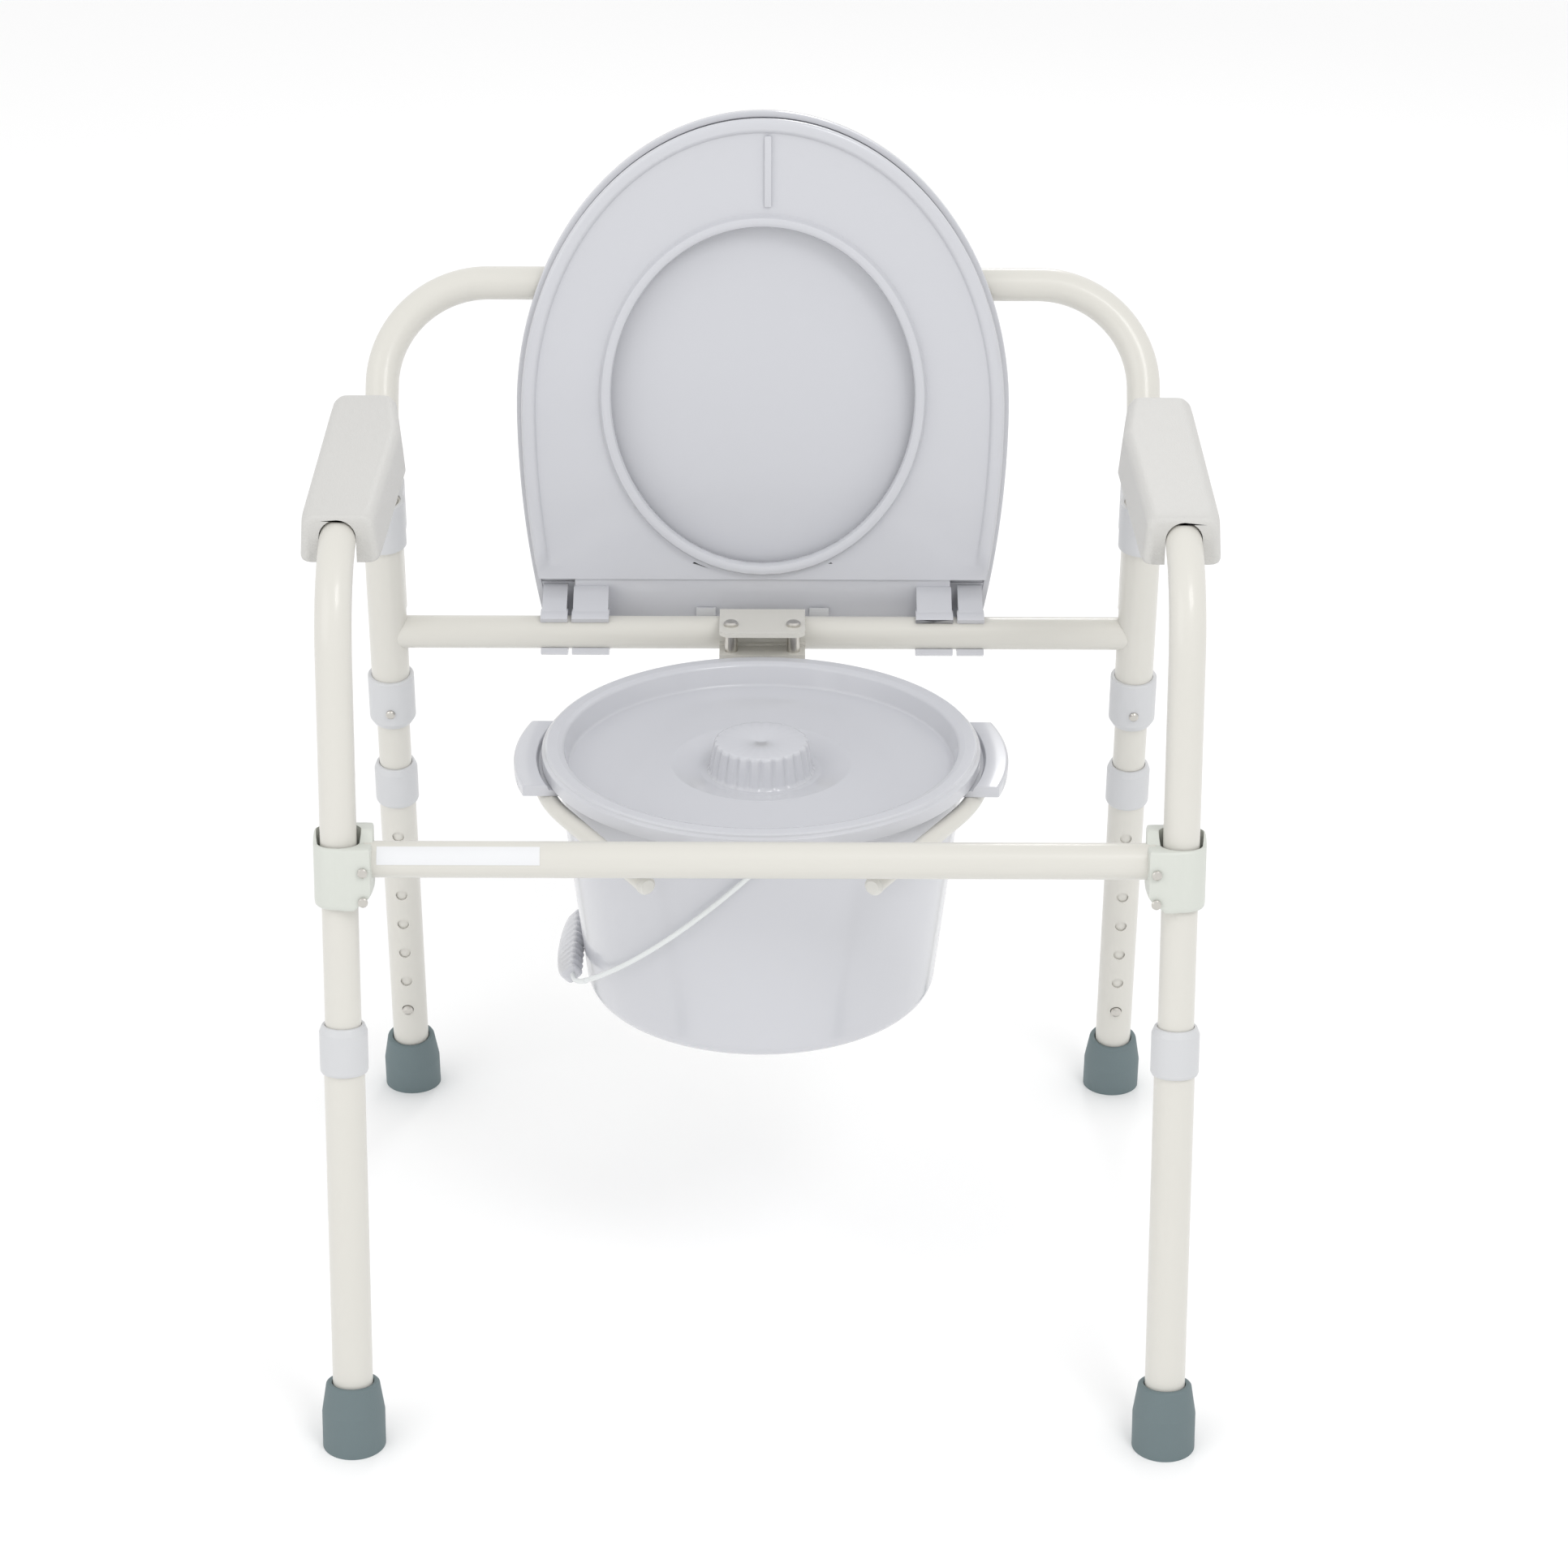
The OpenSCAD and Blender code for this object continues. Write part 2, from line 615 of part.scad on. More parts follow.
module foot(side, end) {
    top_t = floor_t + foot_h;
    color(rubber) intersection() {
        on_leg(side, end) rotate_extrude() polygon([[0, floor_t - 6], [foot_d / 2, floor_t - 6], [foot_d / 2, floor_t + 25],
            [foot_d / 2 - 0.8, floor_t + 27], [foot_d / 2 - 3.6, top_t - 1.5], [foot_d / 2 - 5, top_t],
            [leg_r + joint_gap, top_t], [leg_r + joint_gap, lower_leg_end_t - 0.1], [0, lower_leg_end_t - 0.1]]);
        translate([side * half_w - 60, end * (bar_y + 60) - 80, 0]) cube([120, 160, 120]);
    }
}

module button(side, end) {
    shank_r = hole_d / 2 - free_gap;
    low = tube_r + 0.3;
    color(plain_metal) button_place(side, end) rotate_extrude()
        polygon([[0, low], [shank_r, low], [shank_r, leg_r + 1], [shank_r - 0.7, leg_r + 2.2], [shank_r - 2, leg_r + 3], [0, leg_r + 3.3]]);
}

// ---- bucket ----

bucket_h = 187;
bucket_wall = 2.4;
bucket_foot_r = 128.5;
bucket_rim_r = 150;
bucket_lip_r = 156;
bucket_top_z = bucket_z + bucket_h;
ear_low_z = ring_top_z + 0.05;
ear_top_z = bucket_top_z - 1.6;
ear_half_l = 57;
ear_out = 181;
bail_pivot_z = 405;
bail_pivot_reach = 149.5;
bail_drop = 45.2;
bail_wire_r = 2.1;

module on_bucket() {
    translate([0, bucket_y, 0]) children();
}

// the rim turns down outside the wall, and the ears rest on the holder ring
module bucket() {
    corner = 22;
    skirt_low_z = bucket_top_z - 7.5;
    skirt_w = 2.2;
    color(seat_plastic) on_bucket() difference() {
        union() {
            rotate_extrude() polygon([[0, bucket_z], [bucket_foot_r - corner, bucket_z], [bucket_foot_r - corner * 0.5, bucket_z + corner * 0.13],
                [bucket_foot_r - corner * 0.13, bucket_z + corner * 0.5], [bucket_foot_r + 1, bucket_z + corner],
                [bucket_rim_r - 3, bucket_top_z - 30], [bucket_rim_r - 1, bucket_top_z - 2.5], [bucket_lip_r - skirt_w, bucket_top_z - 2.5],
                [bucket_lip_r - skirt_w, skirt_low_z], [bucket_lip_r, skirt_low_z], [bucket_lip_r, bucket_top_z],
                [bucket_rim_r - bucket_wall, bucket_top_z], [bucket_rim_r - bucket_wall - 3, bucket_top_z - 30],
                [bucket_foot_r + 1 - bucket_wall, bucket_z + corner], [bucket_foot_r - corner * 0.13 - 2, bucket_z + corner * 0.5 + 1.4],
                [bucket_foot_r - corner * 0.5 - 1.4, bucket_z + corner * 0.13 + 2], [bucket_foot_r - corner, bucket_z + bucket_wall], [0, bucket_z + bucket_wall]]);
            bucket_ears();
            for (end = [front, rear]) translate([0, end * (bucket_rim_r - 6), bail_pivot_z]) rotate([-end * 90, 0, 0]) cylinder(h = 5.5, r = 8);
        }
        for (end = [front, rear]) translate([0, end * (bucket_rim_r - 3), bail_pivot_z]) rotate([-end * 90, 0, 0]) cylinder(h = 8, r = bail_wire_r + 0.08);
    }
}

// two curved flanges that rest on the ring, thicker along the outer edge
module bucket_ears() {
    flange_t = 4.5;
    edge_r = 164.5;
    difference() {
        rotate_extrude() polygon([[bucket_rim_r - 2.2, ear_low_z], [ear_out, ear_low_z], [ear_out, ear_top_z - 1],
            [ear_out - 1, ear_top_z], [edge_r, ear_top_z], [edge_r, ear_low_z + flange_t], [bucket_rim_r - 2.2, ear_low_z + flange_t]]);
        for (end = [front, rear]) translate([-ear_out - 1, end > 0 ? ear_half_l : -ear_half_l - ear_out, ear_low_z - 1])
            cube([2 * ear_out + 2, ear_out, ear_top_z - ear_low_z + 2]);
    }
}

lid_skirt_low = bucket_top_z - 5;
lid_rim_top = bucket_top_z + 8;

// the middle is sunk into the bucket's mouth, with a shallow bowl round the knob
module bucket_lid() {
    skirt_in = bucket_lip_r + 0.6;
    under = bucket_top_z + 0.4;
    deck = bucket_top_z - 9;
    bowl = bucket_top_z - 14.8;
    plate = 2.2;
    knob_r = 34.4;
    knob_foot_r = 38.6;
    knob_top = bucket_top_z + 9;
    flutes = 24;
    color(seat_plastic) on_bucket() {
        rotate_extrude() polygon([[0, bowl - plate], [46, bowl - plate], [66, deck - plate], [144.6, deck - plate], [146, under],
            [skirt_in, under], [skirt_in, lid_skirt_low], [bucket_lid_r, lid_skirt_low], [bucket_lid_r, lid_rim_top - 4],
            [bucket_lid_r - 1.2, lid_rim_top - 1.2], [bucket_lid_r - 4, lid_rim_top], [bucket_lid_r - 12, lid_rim_top],
            [145, lid_rim_top - 2], [141.5, deck + 2], [140, deck], [68, deck], [48, bowl], [0, bowl]]);
        difference() {
            translate([0, 0, bowl - 0.5]) cylinder(h = knob_top - bowl + 0.5, r1 = knob_foot_r, r2 = knob_r);
            for (k = [0 : flutes - 1]) rotate([0, 0, k * 360 / flutes]) translate([knob_foot_r + 1.4, 0, bowl + 1]) cylinder(h = knob_top, r = 3);
        }
    }
}

// the bail's own plane: x outwards from the pivots, y front to back
module on_bail() {
    translate([0, bucket_y, bail_pivot_z]) rotate([0, 180 - bail_drop, 0]) rotate([180, 0, 0]) children();
}

bail_reach = 197;
bail_pin_y = bail_pivot_reach + bail_wire_r + 0.5;
bail_side_r = 260;
bail_corner_r = 50;
bail_corner_y = sqrt(pow(bail_side_r - bail_corner_r, 2) - pow(bail_reach - bail_corner_r, 2)) - bail_side_r + bail_pin_y;
bail_turn = acos((bail_reach - bail_corner_r) / (bail_side_r - bail_corner_r));

module bail_wire() {
    wire_d = 2 * bail_wire_r;
    turn = [cos(bail_turn), sin(bail_turn)];
    along = [turn.y, -turn.x] * 0.5;
    joint = [0, bail_pin_y - bail_side_r] + bail_side_r * turn;
    color([0.9, 0.9, 0.9]) on_bail() {
        for (flip = [0, 1]) mirror([0, flip, 0]) {
            plane_bend([0, bail_pin_y - bail_side_r], bail_side_r, bail_turn, 90, wire_d);
            plane_bar(joint - along, joint + along, wire_d);
            plane_bend([bail_reach - bail_corner_r, bail_corner_y], bail_corner_r, 0, bail_turn, wire_d);
            plane_bar([0, bail_pin_y + bail_wire_r], [0, bail_pin_y - 5], wire_d, 0, 0, 0);
        }
        plane_bar([bail_reach, -bail_corner_y], [bail_reach, bail_corner_y], wire_d);
    }
}

module bail_grip() {
    grip_l = 92;
    grip_r = 7;
    color(seat_plastic) on_bail() translate([bail_reach, 0, 0]) rotate([90, 0, 0]) difference() {
        cylinder(h = grip_l, r = grip_r, center = true);
        cylinder(h = grip_l + 2, r = bail_wire_r + joint_gap, center = true);
        translate([-bail_wire_r - joint_gap, -2 * grip_r, -grip_l / 2 - 1]) cube([2 * (bail_wire_r + joint_gap), 2 * grip_r, grip_l + 2]);
    }
}

rear_crossbar();
rear_sleeve(left);  // left_rear_sleeve
rear_sleeve(right);  // right_rear_sleeve
backrest_tube();
backrest_tube_plugs();
backrest_clamp(left);  // left_backrest_clamp
backrest_clamp(right);  // right_backrest_clamp
backrest_clamp_screws();
sleeve_collar(left);  // left_sleeve_collar
sleeve_collar(right);  // right_sleeve_collar
collar_screws();
holder_top_plate();
holder_saddle();
holder_spacers();
holder_screws();
holder_nuts();
bucket_holder_ring();
holder_ring_plugs();
seat();
lid();
seat_bumpers();
side_tube(left);  // left_side_tube
armrest(left);  // left_armrest
armrest_screws(left);  // left_armrest_screws
button_springs(left);  // left_button_springs
side_tube(right);  // right_side_tube
armrest(right);  // right_armrest
armrest_screws(right);  // right_armrest_screws
button_springs(right);  // right_button_springs
front_crossbar();
crossbar_bracket(left);  // left_crossbar_bracket
crossbar_bracket(right);  // right_crossbar_bracket
bracket_screws();
blank_label();
lower_leg(left, front);  // front_left_lower_leg
ferrule(left, front);  // front_left_ferrule
foot(left, front);  // front_left_foot
button(left, front);  // front_left_button
lower_leg(right, front);  // front_right_lower_leg
ferrule(right, front);  // front_right_ferrule
foot(right, front);  // front_right_foot
button(right, front);  // front_right_button
lower_leg(left, rear);  // rear_left_lower_leg
ferrule(left, rear);  // rear_left_ferrule
foot(left, rear);  // rear_left_foot
button(left, rear);  // rear_left_button
lower_leg(right, rear);  // rear_right_lower_leg
ferrule(right, rear);  // rear_right_ferrule
foot(right, rear);  // rear_right_foot
button(right, rear);  // rear_right_button
bucket();
bucket_lid();
bail_wire();
bail_grip();
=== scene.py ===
"""Looks for a folding commode chair: coated tube, glossy plastic seat, lid and bucket, grained armrests."""

import json
from math import atan2, ceil, cos, pi, radians, sin, tan

import bmesh
import bpy
from mathutils import Matrix, Vector


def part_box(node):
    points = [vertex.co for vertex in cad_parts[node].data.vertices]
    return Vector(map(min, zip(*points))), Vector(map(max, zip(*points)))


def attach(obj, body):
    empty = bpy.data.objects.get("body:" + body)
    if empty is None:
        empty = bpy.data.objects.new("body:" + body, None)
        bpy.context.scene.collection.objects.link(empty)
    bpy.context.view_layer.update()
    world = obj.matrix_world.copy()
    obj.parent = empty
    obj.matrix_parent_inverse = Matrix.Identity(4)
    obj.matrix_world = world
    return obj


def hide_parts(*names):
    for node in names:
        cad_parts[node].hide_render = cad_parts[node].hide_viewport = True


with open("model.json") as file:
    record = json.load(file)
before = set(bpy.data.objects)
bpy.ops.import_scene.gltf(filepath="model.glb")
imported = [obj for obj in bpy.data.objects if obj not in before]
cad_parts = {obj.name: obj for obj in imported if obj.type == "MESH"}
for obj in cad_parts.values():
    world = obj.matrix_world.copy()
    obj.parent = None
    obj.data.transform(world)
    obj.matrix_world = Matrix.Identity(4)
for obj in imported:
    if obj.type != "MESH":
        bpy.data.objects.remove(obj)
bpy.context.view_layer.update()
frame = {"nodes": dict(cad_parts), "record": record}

MM = 0.001
SIDES = 48
ALONG, UP = Vector((0, 1, 0)), Vector((0, 0, 1))


# ---- measures taken from the frame ----

def middle_of(node):
    low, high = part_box(node)
    return (low + high) / 2


def size_of(node):
    low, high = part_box(node)
    return high - low


TUBE_R = size_of("front_crossbar").z / 2
BAR_Z = middle_of("front_crossbar").z
BAR_Y = -middle_of("front_crossbar").y
HALF_W = middle_of("right_rear_sleeve").x
LEAN = radians(8.7)
SEAT_LEAN = radians(4.5)
LEG_R = size_of("front_right_lower_leg").x / 2
SIDES_OF_CHAIR = {"left": -1, "right": 1}
ENDS_OF_CHAIR = {"front": -1, "rear": 1}
RAISED = Matrix.Translation((0, BAR_Y, BAR_Z)) @ Matrix.Rotation(-pi / 2 - SEAT_LEAN, 4, "X")


def leg_frame(side, end):
    """A leg's own axes: z runs up along the leg from the height of the crossbars."""
    return Matrix.Translation((side * HALF_W, end * BAR_Y, BAR_Z)) @ Matrix.Rotation(end * LEAN, 4, "X")


# ---- finishes ----

def linear(value):
    value /= 255
    return value / 12.92 if value <= 0.04045 else ((value + 0.055) / 1.055) ** 2.4


def surface(name, colour, roughness, metallic=0.0, coat=0.0, mottling=0.03, grain=0.0, grain_scale=900.0):
    """A plain surface whose tone and gloss vary a little from place to place, with a fine grain."""
    material = bpy.data.materials.new(name)
    material.use_nodes = True
    nodes, links = material.node_tree.nodes, material.node_tree.links
    shader = nodes["Principled BSDF"]
    place = nodes.new("ShaderNodeTexCoord")
    patches = nodes.new("ShaderNodeTexNoise")
    patches.inputs["Scale"].default_value = 7.0
    patches.inputs["Detail"].default_value = 3.0
    tones = nodes.new("ShaderNodeValToRGB")
    full = [linear(c) for c in colour]
    tones.color_ramp.elements[0].color = [c * (1 - mottling) for c in full] + [1]
    tones.color_ramp.elements[1].color = full + [1]
    gloss = nodes.new("ShaderNodeMapRange")
    gloss.inputs["To Min"].default_value = roughness * 0.9
    gloss.inputs["To Max"].default_value = roughness * 1.1
    links.new(place.outputs["Object"], patches.inputs["Vector"])
    links.new(patches.outputs["Fac"], tones.inputs["Fac"])
    links.new(patches.outputs["Fac"], gloss.inputs["Value"])
    links.new(tones.outputs["Color"], shader.inputs["Base Color"])
    links.new(gloss.outputs["Result"], shader.inputs["Roughness"])
    shader.inputs["Metallic"].default_value = metallic
    shader.inputs["Coat Weight"].default_value = coat
    shader.inputs["Coat Roughness"].default_value = 0.08
    if grain:
        pits = nodes.new("ShaderNodeTexNoise")
        pits.inputs["Scale"].default_value = grain_scale
        pits.inputs["Detail"].default_value = 2.0
        relief = nodes.new("ShaderNodeBump")
        relief.inputs["Strength"].default_value = grain
        relief.inputs["Distance"].default_value = 0.4 * MM
        links.new(place.outputs["Object"], pits.inputs["Vector"])
        links.new(pits.outputs["Fac"], relief.inputs["Height"])
        links.new(relief.outputs["Normal"], shader.inputs["Normal"])
    return material


COATED_STEEL = surface("coated_steel", (212, 210, 203), 0.34, coat=0.25, grain=0.04, grain_scale=500)
RUBBER = surface("foot_rubber", (106, 121, 124), 0.62, mottling=0.12, grain=0.25)
BARE_METAL = surface("bare_metal", (205, 202, 196), 0.28, metallic=1.0, grain=0.05)
WHITE_WIRE = surface("white_wire", (224, 227, 227), 0.35, coat=0.2)
SEAT_PLASTIC = surface("seat_plastic", (200, 201, 206), 0.2, coat=0.35, mottling=0.015)
ARMREST = surface("armrest_plastic", (202, 201, 198), 0.5, mottling=0.04, grain=0.9, grain_scale=1000)
STICKER = surface("sticker", (226, 227, 229), 0.5)
END_PLUG = surface("end_plug", (214, 213, 208), 0.5, grain=0.1)
BRACKET = surface("bracket_plastic", (206, 209, 202), 0.4, grain=0.06)
FITTING = surface("fitting_plastic", (203, 204, 206), 0.4, grain=0.08)
FINISHES = {
    "cream_coated_steel": COATED_STEEL, "foot_rubber": RUBBER, "bare_metal": BARE_METAL,
    "white_wire": WHITE_WIRE, "seat_plastic": SEAT_PLASTIC, "armrest_plastic": ARMREST,
    "label": STICKER, "grey_plug": END_PLUG, "white_plastic": FITTING,
}
SLOT_OF = {part["node"]: part["material_slot"] for part in frame["record"]["subparts"]}
for node_name, node in frame["nodes"].items():
    node.data.materials.clear()
    node.data.materials.append(FINISHES[SLOT_OF[node_name]])


# ---- making pieces ----

def finish_piece(bm, name, body, stands_for, sharp=35):
    """Turns the drawn form into a piece that rides on its body and stands for the frame's nodes."""
    bmesh.ops.remove_doubles(bm, verts=bm.verts[:], dist=0.002 * MM)
    bmesh.ops.recalc_face_normals(bm, faces=bm.faces[:])
    for face in bm.faces:
        face.smooth = True
    for edge in bm.edges:
        edge.smooth = len(edge.link_faces) == 2 and edge.calc_face_angle(0) < radians(sharp)
    mesh = bpy.data.meshes.new(name)
    bm.to_mesh(mesh)
    bm.free()
    piece = bpy.data.objects.new(name, mesh)
    bpy.context.scene.collection.objects.link(piece)
    slot = SLOT_OF[stands_for[0]]
    mesh.materials.append(BRACKET if "bracket" in name else FINISHES[slot])
    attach(piece, body)
    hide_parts(*stands_for)
    return piece


def rounded(points, radius, closed=True, steps=4):
    """The outline with each corner turned into a small arc. radius is one value, or one for each corner."""
    points = [Vector(p) for p in points]
    count = len(points)
    radii = radius if isinstance(radius, (list, tuple)) else [radius] * count
    out = []
    for k, corner in enumerate(points):
        if radii[k] <= 0 or (not closed and k in (0, count - 1)):
            out.append(corner)
            continue
        before, after = points[k - 1] - corner, points[(k + 1) % count] - corner
        half = before.angle(after) / 2
        reach = min(radii[k] / tan(half), 0.48 * before.length, 0.48 * after.length)
        start, end = corner + before.normalized() * reach, corner + after.normalized() * reach
        for s in range(steps + 1):
            t = s / steps
            out.append(start * (1 - t) ** 2 + corner * 2 * t * (1 - t) + end * t ** 2)
    return out


def lathe(bm, profile, place=Matrix(), steps=96, closed=False, angle=2 * pi):
    """Turns a profile of (radius, height) about place's z axis."""
    verts = [bm.verts.new(place @ Vector((r, 0, z))) for r, z in profile]
    edges = [bm.edges.new(pair) for pair in zip(verts, verts[1:])]
    if closed:
        edges.append(bm.edges.new((verts[-1], verts[0])))
    whole = angle >= 2 * pi - 1e-6
    if not whole and closed:
        bm.faces.new(verts)
    spun = bmesh.ops.spin(bm, geom=verts + edges, cent=place.translation, axis=place.to_3x3() @ UP,
                          angle=angle, steps=steps, use_merge=whole)
    if not whole and closed:
        bm.faces.new([g for g in spun["geom_last"] if isinstance(g, bmesh.types.BMVert)])
    bmesh.ops.remove_doubles(bm, verts=bm.verts[:], dist=0.002 * MM)


def loft(bm, rings, caps=True):
    """Joins closed rings that have the same number of points, one after another."""
    loops = [[bm.verts.new(p) for p in ring] for ring in rings]
    count = len(loops[0])
    for low, high in zip(loops, loops[1:]):
        for k in range(count):
            bm.faces.new((low[k], low[(k + 1) % count], high[(k + 1) % count], high[k]))
    if caps:
        bm.faces.new(loops[0])
        bm.faces.new(loops[-1])


def plate(bm, outline, low, high, place=Matrix(), edge=0.0):
    """A flat plate from an outline, with its two edges eased."""
    steps = [(low, edge), (low + edge * 0.3, edge * 0.3), (low + edge, 0), (high - edge, 0),
             (high - edge * 0.3, edge * 0.3), (high, edge)] if edge else [(low, 0), (high, 0)]
    centre = sum((Vector(p) for p in outline), Vector((0, 0))) / len(outline)
    rings = []
    for height, inset in steps:
        ring = []
        for p in outline:
            away = Vector(p) - centre
            moved = Vector(p) - away.normalized() * inset
            ring.append(place @ Vector((moved.x, moved.y, height)))
        rings.append(ring)
    loft(bm, rings)


def tilted_to(place, heading):
    """A frame at place whose z axis looks along heading."""
    return Matrix.Translation(place) @ heading.to_track_quat("Z", "Y").to_matrix().to_4x4()


def run(bm, edges, step):
    """Extrudes an open end of a tube by a straight step and returns its new end."""
    extruded = bmesh.ops.extrude_edge_only(bm, edges=edges)["geom"]
    moved = [g for g in extruded if isinstance(g, bmesh.types.BMVert)]
    bmesh.ops.translate(bm, verts=moved, vec=step)
    return [g for g in extruded if isinstance(g, bmesh.types.BMEdge)
            and all(v in set(moved) for v in g.verts)]


def pipe(bm, corners, bends, radius, sides=SIDES):
    """A tube through corners, bent at each inner one to the given centre-line radius, closed at its ends."""
    points = [Vector(c) for c in corners]
    heading = (points[1] - points[0]).normalized()
    turned = tilted_to(points[0], heading)
    ring = bmesh.ops.create_circle(bm, segments=sides, radius=radius, matrix=turned)["verts"]
    edges = list({e for v in ring for e in v.link_edges})
    place = points[0]
    for corner, bend, after in zip(points[1:-1], bends, points[2:]):
        outgoing = (after - corner).normalized()
        angle = heading.angle(outgoing)
        tangent = bend * tan(angle / 2)
        start = corner - heading * tangent
        if (start - place).length > 0.01 * MM:
            edges = run(bm, edges, start - place)
        axis = heading.cross(outgoing).normalized()
        verts = list({v for e in edges for v in e.verts})
        spun = bmesh.ops.spin(bm, geom=verts + edges, cent=start + bend * axis.cross(heading), axis=axis,
                              angle=angle, steps=max(3, ceil(angle / radians(3.5))))
        edges = [g for g in spun["geom_last"] if isinstance(g, bmesh.types.BMEdge)]
        place, heading = corner + outgoing * tangent, outgoing
    run(bm, edges, points[-1] - place)
    bmesh.ops.remove_doubles(bm, verts=bm.verts[:], dist=0.002 * MM)
    bmesh.ops.holes_fill(bm, edges=[e for e in bm.edges if len(e.link_faces) == 1], sides=0)


# ---- tubes ----

ARM_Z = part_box("left_side_tube")[1].z - TUBE_R
ARM_BEND = 75 * MM
UP_REAR = Vector((0, -sin(LEAN), cos(LEAN)))
UP_FRONT = Vector((0, sin(LEAN), cos(LEAN)))
HIDDEN_LEG = (BAR_Z - 102 * MM) / cos(LEAN)


def side_tube(name, side):
    corner_y = BAR_Y - (ARM_Z - BAR_Z) * tan(LEAN)
    front_bar = Vector((side * HALF_W, -BAR_Y, BAR_Z))
    rear_bar = Vector((side * HALF_W, BAR_Y, BAR_Z))
    bm = bmesh.new()
    pipe(bm, [front_bar - UP_FRONT * HIDDEN_LEG, (side * HALF_W, -corner_y, ARM_Z),
              (side * HALF_W, corner_y, ARM_Z), rear_bar - UP_REAR * HIDDEN_LEG],
         [ARM_BEND, ARM_BEND], TUBE_R)
    finish_piece(bm, name + "_side_bent_tube", name + "_side", [name + "_side_tube"])


for side_name, side_sign in SIDES_OF_CHAIR.items():
    side_tube(side_name, side_sign)

BACK_SLOPE = radians(32)
KNEE_Z = 590 * MM
BACK_OFFSET = 28.3 * MM
BACK_BAR_Z = 693 * MM
KNEE_Y = BAR_Y + BACK_OFFSET / cos(LEAN) - (KNEE_Z - BAR_Z) * tan(LEAN)
BACK_BEND, KNEE_BEND = 80 * MM, 90 * MM


def backrest():
    run_up = (BACK_BAR_Z - KNEE_Z) / cos(BACK_SLOPE)
    low = leg_frame(1, 1) @ Vector((0, BACK_OFFSET, 6 * MM))
    knee = Vector((HALF_W, KNEE_Y, KNEE_Z))
    top = knee + run_up * Vector((0, sin(BACK_SLOPE), cos(BACK_SLOPE)))
    right = [low, knee, top]
    left = [Vector((-p.x, p.y, p.z)) for p in right]
    bm = bmesh.new()
    pipe(bm, left + right[::-1], [KNEE_BEND, BACK_BEND, BACK_BEND, KNEE_BEND], TUBE_R)
    finish_piece(bm, "backrest_bent_tube", "back_frame", ["backrest_tube"])


backrest()

BUCKET = middle_of("bucket_lid")
RING_R = 161 * MM
RING_TUBE_R = 6.35 * MM
RING_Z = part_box("bucket_holder_ring")[0].z + RING_TUBE_R
RING_WRAP = radians(29.1)
RING_ARM = 124.5 * MM


def holder_ring():
    bm = bmesh.new()
    centre = Vector((0, BUCKET.y, RING_Z))
    start = centre + RING_R * Vector((-cos(RING_WRAP), -sin(RING_WRAP), 0))
    along = Vector((sin(RING_WRAP), -cos(RING_WRAP), 0))
    heading = -along
    turned = tilted_to(start + along * RING_ARM, heading)
    ring = bmesh.ops.create_circle(bm, segments=SIDES // 2, radius=RING_TUBE_R, matrix=turned)["verts"]
    edges = list({e for v in ring for e in v.link_edges})
    edges = run(bm, edges, heading * RING_ARM)
    verts = list({v for e in edges for v in e.verts})
    spun = bmesh.ops.spin(bm, geom=verts + edges, cent=centre, axis=-UP,
                          angle=pi + 2 * RING_WRAP, steps=84)
    edges = [g for g in spun["geom_last"] if isinstance(g, bmesh.types.BMEdge)]
    run(bm, edges, RING_ARM * Vector((-sin(RING_WRAP), -cos(RING_WRAP), 0)))
    bmesh.ops.holes_fill(bm, edges=[e for e in bm.edges if len(e.link_faces) == 1], sides=0)
    finish_piece(bm, "holder_bent_ring", "back_frame", ["bucket_holder_ring"])


holder_ring()


# ---- bucket and its lid ----

BUCKET_LOW, BUCKET_HIGH = (corner.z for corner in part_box("bucket"))
LID_R = size_of("bucket_lid").x / 2
ON_BUCKET = Matrix.Translation((0, BUCKET.y, 0))


def sector(bm, profile, half_length, place):
    """A profile of (radius, height) turned about z, between two straight cuts half_length from the middle."""
    rings = []
    for k in range(33):
        share = k / 16 - 1
        ring = []
        for r, z in profile:
            y = share * half_length
            ring.append(place @ Vector(((r * r - y * y) ** 0.5, y, z)))
        rings.append(ring)
    loft(bm, rings)


